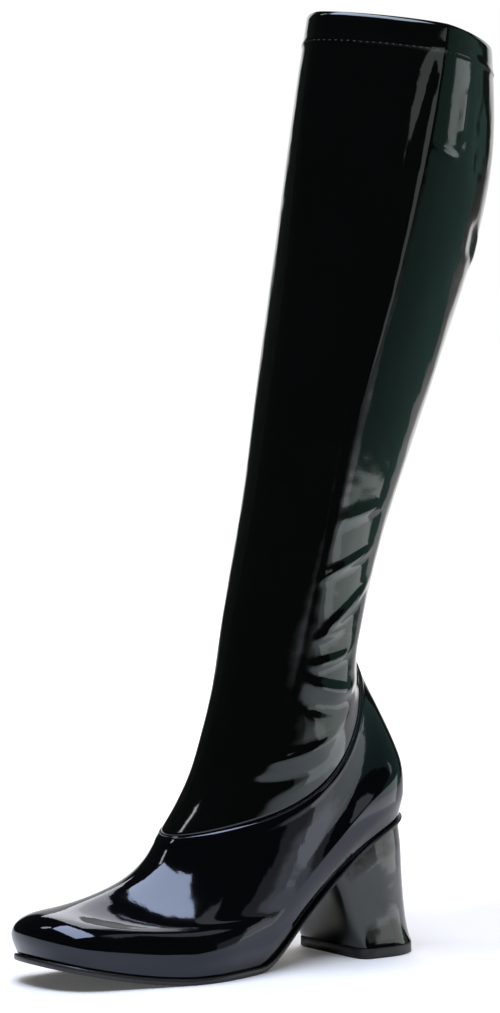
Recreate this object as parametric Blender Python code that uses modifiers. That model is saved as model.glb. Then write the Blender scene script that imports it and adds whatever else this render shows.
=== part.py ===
"""A knee-high go-go boot for the left foot, standing empty on its sole.

Lengths are in metres. The boot's own directions are forward (to the toe), outward (to the side
away from the other foot) and up. place() turns them into Blender's X, Y and Z: the toe points
along -Y and the outer side is +X. Forward is counted from the back of the heel's ground face,
and the origin is the middle of that face.
"""

import math
from collections import namedtuple

import bmesh
import bpy
import numpy as np

# The foot.
FOOT_LENGTH = 0.231
BALL_WIDTH = 0.078
SEAT_HEIGHT = 0.072
TOE_SPRING = 0.014
VAMP_RISE = 0.0655
COUNTER_RISE = 0.088
COUNTER_PEAK = 0.031
DIP_FORWARD = 0.58
TOE_SWING = 0.008

# The leg.
BOOT_HEIGHT = 0.479
RIM_DROP = 0.019
CALF_DEPTH = 0.119
CALF_WIDTH = 0.104
ANKLE_WIDTH = 0.066

# The heel block.
HEEL_LENGTH = 0.045
HEEL_WIDTH = 0.058
HEEL_TOP_LENGTH = 0.054
HEEL_TOP_WIDTH = 0.051
HEEL_SETBACK = 0.006
HEEL_WAIST = 0.0015
LIFT_THICKNESS = 0.0055

# Thicknesses and clearances.
SOLE_THICKNESS = 0.0032
SEAT_THICKNESS = 0.0020
SOLE_EDGE = 0.0016
INSOLE_THICKNESS = 0.0024
INSOLE_MARGIN = 0.0008
FOOT_WALL = 0.0018
LEG_WALL = 0.0012
HEM_WALL = 0.0024
HEM_HEIGHT = 0.0135
SEAM_STEP = 0.0007
CLEARANCE = 0.0003

# How finely the pieces are divided.
AROUND = 52
FOOT_RINGS_MADE = 15
LEG_RINGS_MADE = 24
HEEL_AROUND = 40
HEEL_LEVELS = 9

# Shares that shape the curves. SWING_FROM, THIN_UNTIL and THICK_FROM are stations along the
# foot. SEAM_FADE and HEM_STEP are shares of the leg, WAIST_UNTIL of the heel's height and
# HEEL_BACK of its length. CROWN_POWER, WAIST_POWER and BREAST_POWER set how square a curve is.
SWING_FROM = 0.5
FLAT_SHARE = 0.008
CROWN_POWER = 6
SEAM_FADE = 0.06
HEM_STEP = 0.003
THIN_UNTIL = 0.25
THICK_FROM = 0.5
HEEL_BACK = 0.56
BREAST_POWER = 0.28
WAIST_UNTIL = 0.8
WAIST_POWER = 0.6

# The underside of the last, from heel to toe. station is a share of FOOT_LENGTH, seat a share of
# the heel seat's height over the sole, and spring a share of TOE_SPRING.
Bottom = namedtuple("Bottom", "station seat spring")
LAST_BOTTOM = [
    Bottom(0.00, 1.02, 0.00),
    Bottom(0.07, 0.96, 0.00),
    Bottom(0.14, 0.87, 0.00),
    Bottom(0.20, 0.745, 0.00),
    Bottom(0.27, 0.54, 0.00),
    Bottom(0.34, 0.315, 0.00),
    Bottom(0.41, 0.10, 0.00),
    Bottom(0.46, 0.015, 0.00),
    Bottom(0.52, 0.00, 0.00),
    Bottom(0.68, 0.00, 0.02),
    Bottom(0.80, 0.00, 0.25),
    Bottom(0.90, 0.00, 0.60),
    Bottom(1.00, 0.00, 1.00),
]

# The foot's rings, from the feather line to the seam with the leg. back and front are shares of
# FOOT_LENGTH. back_rise is a share of COUNTER_RISE, front_rise of VAMP_RISE, both over the sole.
# follow is how much of the sole's curve the ring keeps, crown how far it drops beside the ridge
# (a share of VAMP_RISE), and peak how far it drops beside the back seam (of COUNTER_PEAK).
# The last six are the ring's fullness from back to front, shares of half of BALL_WIDTH: a ring
# with one fullness all along is an ellipse of that half-width.
FootRing = namedtuple(
    "FootRing",
    "back back_rise front front_rise follow crown peak heel_back heel waist ball toes toe_front",
)
FOOT_RINGS = [
    FootRing(0.026, 0.00, 0.963, 0.000, 1.00, 0.00, 0.00, 1.30, 1.02, 0.64, 1.03, 1.20, 1.80),
    FootRing(0.020, 0.10, 0.972, 0.110, 0.98, 0.00, 0.00, 1.34, 1.10, 0.77, 1.07, 1.23, 1.82),
    FootRing(0.019, 0.20, 0.965, 0.222, 0.95, 0.00, 0.00, 1.34, 1.13, 0.85, 1.05, 1.17, 1.62),
    FootRing(0.022, 0.31, 0.934, 0.332, 0.90, 0.04, 0.06, 1.28, 1.12, 0.88, 1.01, 1.09, 1.25),
    FootRing(0.033, 0.43, 0.874, 0.432, 0.82, 0.12, 0.16, 1.16, 1.08, 0.89, 0.98, 1.02, 1.00),
    FootRing(0.053, 0.57, 0.800, 0.553, 0.68, 0.16, 0.36, 1.02, 1.00, 0.88, 0.96, 0.98, 0.90),
    FootRing(0.079, 0.72, 0.729, 0.680, 0.46, 0.13, 0.60, 0.90, 0.90, 0.86, 0.92, 0.92, 0.86),
    FootRing(0.105, 0.865, 0.669, 0.832, 0.22, 0.06, 0.82, 0.84, 0.85, 0.85, 0.87, 0.87, 0.84),
    FootRing(0.126, 1.00, 0.632, 1.000, 0.00, 0.00, 1.00, 0.82, 0.82, 0.82, 0.82, 0.82, 0.82),
]
FULLNESS_STATIONS = (0.0, 0.12, 0.38, 0.66, 0.88, 1.0)

# The leg's rings, from the seam to the rim. back_up and front_up are shares of the way up from
# the seam, middle a share of FOOT_LENGTH, depth of CALF_DEPTH and width of the way from
# ANKLE_WIDTH to CALF_WIDTH. crease is where the side is widest, as a share of the depth, and
# roundness 2 for an ellipse, less for the folded shape of an empty leg.
LegRing = namedtuple("LegRing", "back_up front_up middle depth width peak crease roundness")
LEG_RINGS = [
    LegRing(0.018, 0.053, 0.350, 0.805, 0.00, 0.66, 0.52, 2.00),
    LegRing(0.047, 0.105, 0.329, 0.718, 0.01, 0.38, 0.56, 2.00),
    LegRing(0.080, 0.162, 0.304, 0.689, 0.03, 0.18, 0.61, 1.90),
    LegRing(0.130, 0.221, 0.280, 0.699, 0.07, 0.06, 0.66, 1.80),
    LegRing(0.197, 0.285, 0.250, 0.718, 0.14, 0.00, 0.70, 1.70),
    LegRing(0.304, 0.393, 0.197, 0.752, 0.28, 0.00, 0.73, 1.60),
    LegRing(0.444, 0.514, 0.138, 0.833, 0.52, 0.00, 0.74, 1.53),
    LegRing(0.588, 0.620, 0.082, 0.927, 0.78, 0.00, 0.73, 1.48),
    LegRing(0.715, 0.744, 0.035, 0.994, 0.95, 0.00, 0.70, 1.45),
    LegRing(0.841, 0.862, 0.005, 1.012, 1.00, 0.00, 0.66, 1.44),
    LegRing(1.000, 1.000, -0.011, 0.916, 0.96, 0.00, 0.61, 1.44),
]


def place(forward, outward, up):
    """A point of the boot in Blender's directions."""
    return (outward, HEEL_LENGTH / 2 - forward, up)


def spline(knots, values):
    """The natural cubic spline through the values, as a function."""
    x, y = np.array(knots, float), np.array(values, float)
    gaps, slopes = np.diff(x), np.diff(y) / np.diff(x)
    size = len(x)
    system, sides = np.eye(size), np.zeros(size)
    for i in range(1, size - 1):
        system[i, i - 1 : i + 2] = gaps[i - 1], 2 * (gaps[i - 1] + gaps[i]), gaps[i]
        sides[i] = 6 * (slopes[i] - slopes[i - 1])
    bends = np.linalg.solve(system, sides)

    def at(where):
        where = min(max(where, x[0]), x[-1])
        i = min(int(np.searchsorted(x, where, "right")) - 1, size - 2)
        ahead, behind, gap = x[i + 1] - where, where - x[i], gaps[i]
        curved = (bends[i] * ahead**3 + bends[i + 1] * behind**3) / (6 * gap)
        first = (y[i] / gap - bends[i] * gap / 6) * ahead
        second = (y[i + 1] / gap - bends[i + 1] * gap / 6) * behind
        return float(curved + first + second)

    return at


def column_splines(rows, knots):
    """One spline for each named column of a table, with its rows at the knots."""
    return {
        name: spline(knots, [getattr(row, name) for row in rows]) for name in rows[0]._fields
    }


bottom_splines = column_splines(
    [row._replace(station=0) for row in LAST_BOTTOM], [row.station for row in LAST_BOTTOM]
)


def last_bottom(forward):
    """Height of the last's underside, where the sole's upper face lies. Under the ball, where
    both shares are less than FLAT_SHARE, it is level."""
    station = forward / FOOT_LENGTH
    seat = max(0.0, bottom_splines["seat"](station) - FLAT_SHARE)
    spring = max(0.0, bottom_splines["spring"](station) - FLAT_SHARE)
    return SOLE_THICKNESS + seat * (SEAT_HEIGHT - SOLE_THICKNESS) + spring * TOE_SPRING


def swing(forward):
    """How far the foot's middle line lies outward: the toe swings to the inner side."""
    ahead = max(0.0, forward / FOOT_LENGTH - SWING_FROM) / (1 - SWING_FROM)
    return -TOE_SWING * ahead**2


foot_knots = np.linspace(0, 1, len(FOOT_RINGS))
foot_splines = column_splines(FOOT_RINGS, foot_knots)


def foot_point(level, turn):
    """A point of the foot's outer face. level runs from 0 at the feather to 1 at the seam with
    the leg. turn runs from 0 at the back, over pi / 2 outside and pi in front, to 2 pi."""
    ring = {name: column(level) for name, column in foot_splines.items()}
    along = (1 - math.cos(turn)) / 2
    back, front = ring["back"] * FOOT_LENGTH, ring["front"] * FOOT_LENGTH
    forward = back + (front - back) * along
    chord = last_bottom(back) * (1 - along) + last_bottom(front) * along
    base = ring["follow"] * last_bottom(forward) + (1 - ring["follow"]) * chord
    rise = ring["back_rise"] * COUNTER_RISE * (1 - along) + ring["front_rise"] * VAMP_RISE * along
    crown = ring["crown"] * VAMP_RISE * (1 - abs(2 * along - 1) ** CROWN_POWER)
    peak = ring["peak"] * COUNTER_PEAK * math.sin(math.pi * along**DIP_FORWARD)
    fullness = spline(FULLNESS_STATIONS, [ring[name] for name in FootRing._fields[-6:]])
    half = fullness(along) * BALL_WIDTH / 2
    outward = swing(forward) + half * math.sin(turn)
    return forward, outward, base + rise - crown - peak


def seam_size():
    """The seam's height behind and in front, and its middle, depth and half-width."""
    seam = FOOT_RINGS[-1]
    back, front = seam.back * FOOT_LENGTH, seam.front * FOOT_LENGTH
    back_up = last_bottom(back) + seam.back_rise * COUNTER_RISE
    front_up = last_bottom(front) + seam.front_rise * VAMP_RISE
    return back_up, front_up, (back + front) / 2, front - back, seam.ball * BALL_WIDTH / 2


def leg_columns():
    """Splines of the leg's rings in metres, from the seam's ring to the rim."""
    back_up, front_up, middle, depth, half = seam_size()
    rows = [(back_up, front_up, middle, depth, half, COUNTER_PEAK, 0.5, 2.0)]
    rim_front, rim_back = BOOT_HEIGHT, BOOT_HEIGHT - RIM_DROP
    for row in LEG_RINGS:
        rows.append(
            (
                back_up + row.back_up * (rim_back - back_up),
                front_up + row.front_up * (rim_front - front_up),
                row.middle * FOOT_LENGTH,
                row.depth * CALF_DEPTH,
                (ANKLE_WIDTH + row.width * (CALF_WIDTH - ANKLE_WIDTH)) / 2,
                row.peak * COUNTER_PEAK,
                row.crease,
                row.roundness,
            )
        )
    shares = [0.0] + [row.front_up for row in LEG_RINGS]
    return column_splines([LegRing(*row) for row in rows], shares)


leg_splines = leg_columns()


def leg_point(level, turn, inset=0.0):
    """A point of the leg's outer face. level runs from 0 at the seam to 1 at the rim, and turn
    goes round as it does on the foot."""
    ring = {name: column(level) for name, column in leg_splines.items()}
    power = 2 / ring["roundness"]
    cosine, sine = math.cos(turn), math.sin(turn)
    reach = math.copysign(abs(cosine) ** power, -cosine)
    crease = ring["crease"]
    along = crease + reach * (crease if reach < 0 else 1 - crease)
    depth = ring["depth"] - 2 * inset
    forward = ring["middle"] - depth / 2 + depth * along
    half = ring["width"] - inset
    outward = swing(forward) + math.copysign(half * abs(sine) ** power, sine)
    up = ring["back_up"] * (1 - along) + ring["front_up"] * along
    return forward, outward, up - ring["peak"] * math.sin(math.pi * along**DIP_FORWARD)


def turns(count):
    return [2 * math.pi * i / count for i in range(count)]


def finish(name, bm, material, smooth_angle=35):
    """Makes the bmesh an object with its material, shaded smooth but for its sharp edges."""
    bmesh.ops.recalc_face_normals(bm, faces=bm.faces)
    mesh = bpy.data.meshes.new(name)
    bm.to_mesh(mesh)
    bm.free()
    mesh.shade_smooth()
    mesh.set_sharp_from_angle(angle=math.radians(smooth_angle))
    mesh.materials.append(material)
    obj = bpy.data.objects.new(name, mesh)
    boot.objects.link(obj)
    return obj


def loft(rings, closed_ends=False):
    """A skin over rings of points, each ring closed. With closed_ends it is a solid."""
    bm = bmesh.new()
    rows = [[bm.verts.new(place(*point)) for point in ring] for ring in rings]
    count = len(rows[0])
    for lower, upper in zip(rows, rows[1:]):
        for i in range(count):
            j = (i + 1) % count
            bm.faces.new((lower[i], lower[j], upper[j], upper[i]))
    if closed_ends:
        cap(bm, rows[0])
        cap(bm, rows[-1])
    return bm


def cap(bm, ring):
    """Closes a ring that is symmetric about its first and its middle point, in strips."""
    count = len(ring)
    for i in range(count // 2):
        corners = [ring[i], ring[i + 1], ring[-i - 1], ring[-i]]
        if i == 0:
            corners = [ring[0], ring[1], ring[-1]]
        elif i == count // 2 - 1:
            corners = [ring[i], ring[i + 1], ring[-i]]
        bm.faces.new(corners)


def add_wall(obj, thickness):
    """Thickens an open skin inwards."""
    wall = obj.modifiers.new("wall", "SOLIDIFY")
    wall.thickness = thickness
    wall.offset = -1
    wall.use_even_offset = True
    wall.thickness_clamp = 0
    return wall


def material(name, colour, roughness, metallic=0.0, coat=0.0):
    made = bpy.data.materials.new(name)
    made.use_nodes = True
    shader = made.node_tree.nodes["Principled BSDF"]
    shader.inputs["Base Color"].default_value = (*colour, 1)
    shader.inputs["Roughness"].default_value = roughness
    shader.inputs["Metallic"].default_value = metallic
    shader.inputs["Coat Weight"].default_value = coat
    made.diffuse_color = (*colour, 1)
    return made


def foot_patent():
    return material("foot_patent", (0.006, 0.006, 0.008), 0.06, coat=1.0)


def leg_patent():
    return material("leg_patent", (0.005, 0.006, 0.006), 0.10, coat=1.0)


def heel_patent():
    return material("heel_patent", (0.006, 0.006, 0.007), 0.08, coat=1.0)


def sole_rubber():
    return material("sole_rubber", (0.012, 0.012, 0.012), 0.45)


def lift_rubber():
    return material("lift_rubber", (0.015, 0.015, 0.015), 0.55)


def insole_card():
    return material("insole_card", (0.03, 0.03, 0.032), 0.75)


def make_foot_upper(patent):
    """The vamp, quarters and counter, one wall of stiff patent from the feather to the seam."""
    levels = np.linspace(0, 1, FOOT_RINGS_MADE)
    rings = []
    for level in levels:
        ring = [foot_point(level, turn) for turn in turns(AROUND)]
        rings.append([(f, o, u + CLEARANCE * (1 - 2 * level)) for f, o, u in ring])
    obj = finish("foot_upper", loft(rings), patent)
    add_wall(obj, FOOT_WALL)
    return obj


def make_shaft(patent):
    """The leg of thinner stretch patent, set in a little at the seam, with a thicker hem."""
    hem = 1 - HEM_HEIGHT / (BOOT_HEIGHT - seam_size()[1])
    levels = [*np.linspace(0, hem - HEM_STEP, LEG_RINGS_MADE), hem, (1 + hem) / 2, 1.0]
    rings = []
    for level in levels:
        inset = SEAM_STEP * max(0.0, 1 - level / SEAM_FADE)
        ring = [leg_point(level, turn, inset) for turn in turns(AROUND)]
        rings.append([(f, o, u + CLEARANCE * (1 - level)) for f, o, u in ring])
    obj = finish("shaft", loft(rings), patent)
    thick = obj.vertex_groups.new(name="thickness")
    for i, level in enumerate(levels):
        of_ring = list(range(i * AROUND, (i + 1) * AROUND))
        thick.add(of_ring, 1.0 if level >= hem else LEG_WALL / HEM_WALL, "REPLACE")
    wall = add_wall(obj, HEM_WALL)
    wall.vertex_group = "thickness"
    wall.thickness_vertex_group = 0
    return obj


def plate_plan(grow):
    """The feather line's plan grown square to itself: rows of forward, outward and station."""
    plan = [foot_point(0, turn)[:2] for turn in turns(AROUND)]
    rows = []
    for i, (forward, outward) in enumerate(plan):
        before, after = plan[i - 1], plan[(i + 1) % AROUND]
        along, across = after[0] - before[0], after[1] - before[1]
        step = grow / math.hypot(along, across)
        rows.append((forward - step * across, outward + step * along, forward))
    return rows


def as_made(height):
    """A height as the made outsole has it, which is straight between its stations."""
    sole = plate_plan(SOLE_EDGE)[: AROUND // 2 + 1]
    knots, heights = [row[0] for row in sole], [height(row[2]) for row in sole]
    return lambda forward: float(np.interp(forward, knots, heights))


def make_plate(name, grow, top, bottom, finish_material):
    """A thin plate as long as the foot, whose faces lie at the two heights."""
    rings = []
    for height in (as_made(bottom), as_made(top)):
        rings.append([(f, o, height(f)) for f, o, _ in plate_plan(grow)])
    return finish(name, loft(rings, closed_ends=True), finish_material)


def sole_under(forward):
    """Height of the sole's underside: thinner under the heel seat than under the forefoot."""
    share = (forward / FOOT_LENGTH - THIN_UNTIL) / (THICK_FROM - THIN_UNTIL)
    share = min(max(share, 0.0), 1.0)
    eased = share * share * (3 - 2 * share)
    return last_bottom(forward) - SEAT_THICKNESS - eased * (SOLE_THICKNESS - SEAT_THICKNESS)


def make_outsole(rubber):
    """The sole, which shows all round as a thin edge past the foot."""
    return make_plate("outsole", SOLE_EDGE, last_bottom, sole_under, rubber)


def insole_under(forward):
    return last_bottom(forward) + CLEARANCE


def insole_top(forward):
    return insole_under(forward) + INSOLE_THICKNESS


def make_insole(card):
    """The board inside the foot, clear of the wall all round."""
    inset = FOOT_WALL + INSOLE_MARGIN
    return make_plate("insole", -inset, insole_top, insole_under, card)


def heel_outline(share):
    """The heel's plan from the ground at 0 to the seat at 1: round behind, straight in front."""
    length = HEEL_LENGTH + (HEEL_TOP_LENGTH - HEEL_LENGTH) * share
    waist = HEEL_WAIST * math.sin(math.pi * min(1.0, share / WAIST_UNTIL) ** WAIST_POWER)
    half = (HEEL_WIDTH + (HEEL_TOP_WIDTH - HEEL_WIDTH) * share) / 2 - waist
    widest = HEEL_SETBACK * share + waist + HEEL_BACK * length
    ring = []
    for turn in turns(HEEL_AROUND):
        cosine, sine = math.cos(turn), math.sin(turn)
        if cosine > 0:
            ring.append((widest - cosine * HEEL_BACK * length, sine * half))
            continue
        reach = abs(cosine) ** BREAST_POWER * (1 - HEEL_BACK) * length
        side = math.copysign(abs(sine) ** BREAST_POWER, sine) * half
        ring.append((widest + reach, side))
    return ring


def make_heel(patent):
    """The flared block under the seat, covered like the upper."""
    foot = LIFT_THICKNESS + CLEARANCE
    seat = as_made(sole_under)
    rings = []
    for share in np.linspace(0, 1, HEEL_LEVELS):
        ring = []
        for forward, outward in heel_outline(share):
            top = seat(forward) - CLEARANCE
            ring.append((forward, outward, foot + (top - foot) * share))
        rings.append(ring)
    return finish("heel", loft(rings, closed_ends=True), patent)


def make_top_lift(rubber):
    """The rubber piece that the heel stands on."""
    ring = heel_outline(0)
    rings = [[(f, o, up) for f, o in ring] for up in (0.0, LIFT_THICKNESS)]
    return finish("top_lift", loft(rings, closed_ends=True), rubber)


for old in list(bpy.data.objects):
    bpy.data.objects.remove(old)
boot = bpy.data.collections.new("gogo_boot")
bpy.context.scene.collection.children.link(boot)

make_foot_upper(foot_patent())
make_shaft(leg_patent())
make_outsole(sole_rubber())
make_insole(insole_card())
make_heel(heel_patent())
make_top_lift(lift_rubber())
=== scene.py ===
# %% [markdown]
# A knee-high go-go boot in black patent, for the left foot.

import math
from collections import namedtuple

import bmesh
import bpy
import numpy as np
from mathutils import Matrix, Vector


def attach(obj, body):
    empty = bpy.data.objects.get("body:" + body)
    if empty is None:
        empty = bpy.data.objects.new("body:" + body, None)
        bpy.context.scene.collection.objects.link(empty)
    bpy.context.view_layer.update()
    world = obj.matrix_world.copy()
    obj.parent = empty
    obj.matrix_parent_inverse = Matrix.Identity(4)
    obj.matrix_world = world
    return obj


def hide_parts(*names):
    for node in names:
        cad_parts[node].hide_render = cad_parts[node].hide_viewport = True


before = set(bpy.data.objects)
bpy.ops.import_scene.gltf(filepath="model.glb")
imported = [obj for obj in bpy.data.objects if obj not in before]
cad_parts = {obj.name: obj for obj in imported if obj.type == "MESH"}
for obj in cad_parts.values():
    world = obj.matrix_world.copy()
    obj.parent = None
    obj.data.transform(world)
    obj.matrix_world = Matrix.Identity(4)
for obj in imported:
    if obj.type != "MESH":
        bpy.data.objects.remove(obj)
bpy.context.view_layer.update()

# %% [markdown]
# A boot is made on a last, so its sizes are the last's: the foot's length, the ball's width, the
# heel's height. They are the same as in the solids, and a size that only one piece needs comes with
# that piece. All lengths are in metres. The toe points along -Y and the outer side is +X, and
# "forward" is counted from the back of the heel's tread.

# %% The boot's sizes
FOOT_LENGTH = 0.231
BALL_WIDTH = 0.078
SEAT_HEIGHT = 0.072
TOE_SPRING = 0.014
VAMP_RISE = 0.0655
COUNTER_RISE = 0.088
COUNTER_PEAK = 0.031
DIP_FORWARD = 0.58
TOE_SWING = 0.008
SWING_FROM = 0.5
BOOT_HEIGHT = 0.479
RIM_DROP = 0.019
CALF_DEPTH = 0.119
CALF_WIDTH = 0.104
ANKLE_WIDTH = 0.066
HEEL_LENGTH = 0.045
SOLE_THICKNESS = 0.0032
CLEARANCE = 0.0003


def place(forward, outward, up):
    """A point of the boot in Blender's directions."""
    return Vector((outward, HEEL_LENGTH / 2 - forward, up))


print("boot", FOOT_LENGTH, "long,", BOOT_HEIGHT, "high")

# %% [markdown]
# Every curve of a last is fair: it has no kink between the places where it was measured. A cubic
# spline gives that from a handful of heights, so each table below has a row only where the shape
# turns, and the spline fills in between.


# %% Fair curves through a few measures
def fair(knots, values):
    """The natural cubic spline through the values, as a function."""
    x, y = np.array(knots, float), np.array(values, float)
    gaps, slopes = np.diff(x), np.diff(y) / np.diff(x)
    size = len(x)
    system, sides = np.eye(size), np.zeros(size)
    for i in range(1, size - 1):
        system[i, i - 1 : i + 2] = gaps[i - 1], 2 * (gaps[i - 1] + gaps[i]), gaps[i]
        sides[i] = 6 * (slopes[i] - slopes[i - 1])
    bends = np.linalg.solve(system, sides)

    def at(where):
        where = min(max(where, x[0]), x[-1])
        i = min(int(np.searchsorted(x, where, "right")) - 1, size - 2)
        ahead, behind, gap = x[i + 1] - where, where - x[i], gaps[i]
        curved = (bends[i] * ahead**3 + bends[i + 1] * behind**3) / (6 * gap)
        first = (y[i] / gap - bends[i] * gap / 6) * ahead
        second = (y[i + 1] / gap - bends[i + 1] * gap / 6) * behind
        return float(curved + first + second)

    return at


def fair_columns(rows, knots):
    """One such curve for each named column of a table."""
    return {name: fair(knots, [getattr(row, name) for row in rows]) for name in rows[0]._fields}


Bottom = namedtuple("Bottom", "station seat spring")
LAST_BOTTOM = [
    Bottom(0.00, 1.02, 0.00),
    Bottom(0.07, 0.96, 0.00),
    Bottom(0.14, 0.87, 0.00),
    Bottom(0.20, 0.745, 0.00),
    Bottom(0.27, 0.54, 0.00),
    Bottom(0.34, 0.315, 0.00),
    Bottom(0.41, 0.10, 0.00),
    Bottom(0.46, 0.015, 0.00),
    Bottom(0.52, 0.00, 0.00),
    Bottom(0.68, 0.00, 0.02),
    Bottom(0.80, 0.00, 0.25),
    Bottom(0.90, 0.00, 0.60),
    Bottom(1.00, 0.00, 1.00),
]
FLAT_SHARE = 0.008
bottom_curves = fair_columns(LAST_BOTTOM, [row.station for row in LAST_BOTTOM])


def last_bottom(forward):
    """Height of the last's underside, level under the ball."""
    station = forward / FOOT_LENGTH
    seat = max(0.0, bottom_curves["seat"](station) - FLAT_SHARE)
    spring = max(0.0, bottom_curves["spring"](station) - FLAT_SHARE)
    return SOLE_THICKNESS + seat * (SEAT_HEIGHT - SOLE_THICKNESS) + spring * TOE_SPRING


def swing(forward):
    """How far the foot's middle line lies outward."""
    beyond = max(0.0, forward / FOOT_LENGTH - SWING_FROM) / (1 - SWING_FROM)
    return -TOE_SWING * beyond**2


print("seat", round(last_bottom(0.02), 4), "ball", round(last_bottom(0.13), 4))

# %% [markdown]
# The foot is a tube that opens out: its first ring is the feather line, where the upper meets the
# sole, and the rings then climb over the toe and round the heel until the last one is the seam
# with the leg. So the seam is a ring too, and the two pieces meet along it without a cut.

# %% The foot's rings
FootRing = namedtuple(
    "FootRing",
    "back back_rise front front_rise follow crown peak heel_back heel waist ball toes toe_front",
)
FOOT_RINGS = [
    FootRing(0.026, 0.00, 0.963, 0.000, 1.00, 0.00, 0.00, 1.30, 1.02, 0.64, 1.03, 1.20, 1.80),
    FootRing(0.020, 0.10, 0.972, 0.110, 0.98, 0.00, 0.00, 1.34, 1.10, 0.77, 1.07, 1.23, 1.82),
    FootRing(0.019, 0.20, 0.965, 0.222, 0.95, 0.00, 0.00, 1.34, 1.13, 0.85, 1.05, 1.17, 1.62),
    FootRing(0.022, 0.31, 0.934, 0.332, 0.90, 0.04, 0.06, 1.28, 1.12, 0.88, 1.01, 1.09, 1.25),
    FootRing(0.033, 0.43, 0.874, 0.432, 0.82, 0.12, 0.16, 1.16, 1.08, 0.89, 0.98, 1.02, 1.00),
    FootRing(0.053, 0.57, 0.800, 0.553, 0.68, 0.16, 0.36, 1.02, 1.00, 0.88, 0.96, 0.98, 0.90),
    FootRing(0.079, 0.72, 0.729, 0.680, 0.46, 0.13, 0.60, 0.90, 0.90, 0.86, 0.92, 0.92, 0.86),
    FootRing(0.105, 0.865, 0.669, 0.832, 0.22, 0.06, 0.82, 0.84, 0.85, 0.85, 0.87, 0.87, 0.84),
    FootRing(0.126, 1.00, 0.632, 1.000, 0.00, 0.00, 1.00, 0.82, 0.82, 0.82, 0.82, 0.82, 0.82),
]
FULLNESS_STATIONS = (0.0, 0.12, 0.38, 0.66, 0.88, 1.0)
CROWN_POWER = 6
foot_curves = fair_columns(FOOT_RINGS, np.linspace(0, 1, len(FOOT_RINGS)))


def foot_ring(level, turns):
    """The points of one ring, as rows of forward, outward and up."""
    ring = {name: curve(level) for name, curve in foot_curves.items()}
    fullness = fair(FULLNESS_STATIONS, [ring[name] for name in FootRing._fields[-6:]])
    back, front = ring["back"] * FOOT_LENGTH, ring["front"] * FOOT_LENGTH
    points = []
    for turn in turns:
        along = (1 - math.cos(turn)) / 2
        forward = back + (front - back) * along
        chord = last_bottom(back) * (1 - along) + last_bottom(front) * along
        base = ring["follow"] * last_bottom(forward) + (1 - ring["follow"]) * chord
        rise = ring["back_rise"] * COUNTER_RISE * (1 - along)
        rise += ring["front_rise"] * VAMP_RISE * along
        crown = ring["crown"] * VAMP_RISE * (1 - abs(2 * along - 1) ** CROWN_POWER)
        peak = ring["peak"] * COUNTER_PEAK * math.sin(math.pi * along**DIP_FORWARD)
        outward = swing(forward) + fullness(along) * BALL_WIDTH / 2 * math.sin(turn)
        points.append((forward, outward, base + rise - crown - peak))
    return points


def turns_of(count):
    """Even steps of angle once round a ring."""
    return [2 * math.pi * i / count for i in range(count)]


print("throat", [round(c, 4) for c in foot_ring(1, [math.pi])[0]])

# %% [markdown]
# The leg has no last in it, so it hangs as an empty tube of stretch patent does: folded flat down
# both sides, with a soft edge outside and inside. Its rings therefore aren't ellipses but rounded
# diamonds, and the table says where their corner lies and how round they are.

# %% The leg's rings
LegRing = namedtuple("LegRing", "back_up front_up middle depth width peak crease roundness")
LEG_RINGS = [
    LegRing(0.018, 0.053, 0.350, 0.805, 0.00, 0.66, 0.52, 2.00),
    LegRing(0.047, 0.105, 0.329, 0.718, 0.01, 0.38, 0.56, 2.00),
    LegRing(0.080, 0.162, 0.304, 0.689, 0.03, 0.18, 0.61, 1.90),
    LegRing(0.130, 0.221, 0.280, 0.699, 0.07, 0.06, 0.66, 1.80),
    LegRing(0.197, 0.285, 0.250, 0.718, 0.14, 0.00, 0.70, 1.70),
    LegRing(0.304, 0.393, 0.197, 0.752, 0.28, 0.00, 0.73, 1.60),
    LegRing(0.444, 0.514, 0.138, 0.833, 0.52, 0.00, 0.74, 1.53),
    LegRing(0.588, 0.620, 0.082, 0.927, 0.78, 0.00, 0.73, 1.48),
    LegRing(0.715, 0.744, 0.035, 0.994, 0.95, 0.00, 0.70, 1.45),
    LegRing(0.841, 0.862, 0.005, 1.012, 1.00, 0.00, 0.66, 1.44),
    LegRing(1.000, 1.000, -0.011, 0.916, 0.96, 0.00, 0.61, 1.44),
]


def leg_curves_from_seam():
    """The leg's table in metres, with the foot's last ring as its first row."""
    seam = FOOT_RINGS[-1]
    back, front = seam.back * FOOT_LENGTH, seam.front * FOOT_LENGTH
    back_up = last_bottom(back) + seam.back_rise * COUNTER_RISE
    front_up = last_bottom(front) + seam.front_rise * VAMP_RISE
    half = seam.ball * BALL_WIDTH / 2
    rows = [LegRing(back_up, front_up, (back + front) / 2, front - back, half, COUNTER_PEAK, 0.5, 2)]
    for row in LEG_RINGS:
        rows.append(
            LegRing(
                back_up + row.back_up * (BOOT_HEIGHT - RIM_DROP - back_up),
                front_up + row.front_up * (BOOT_HEIGHT - front_up),
                row.middle * FOOT_LENGTH,
                row.depth * CALF_DEPTH,
                (ANKLE_WIDTH + row.width * (CALF_WIDTH - ANKLE_WIDTH)) / 2,
                row.peak * COUNTER_PEAK,
                row.crease,
                row.roundness,
            )
        )
    return fair_columns(rows, [0.0] + [row.front_up for row in LEG_RINGS]), front_up


leg_curves, throat_up = leg_curves_from_seam()


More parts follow.
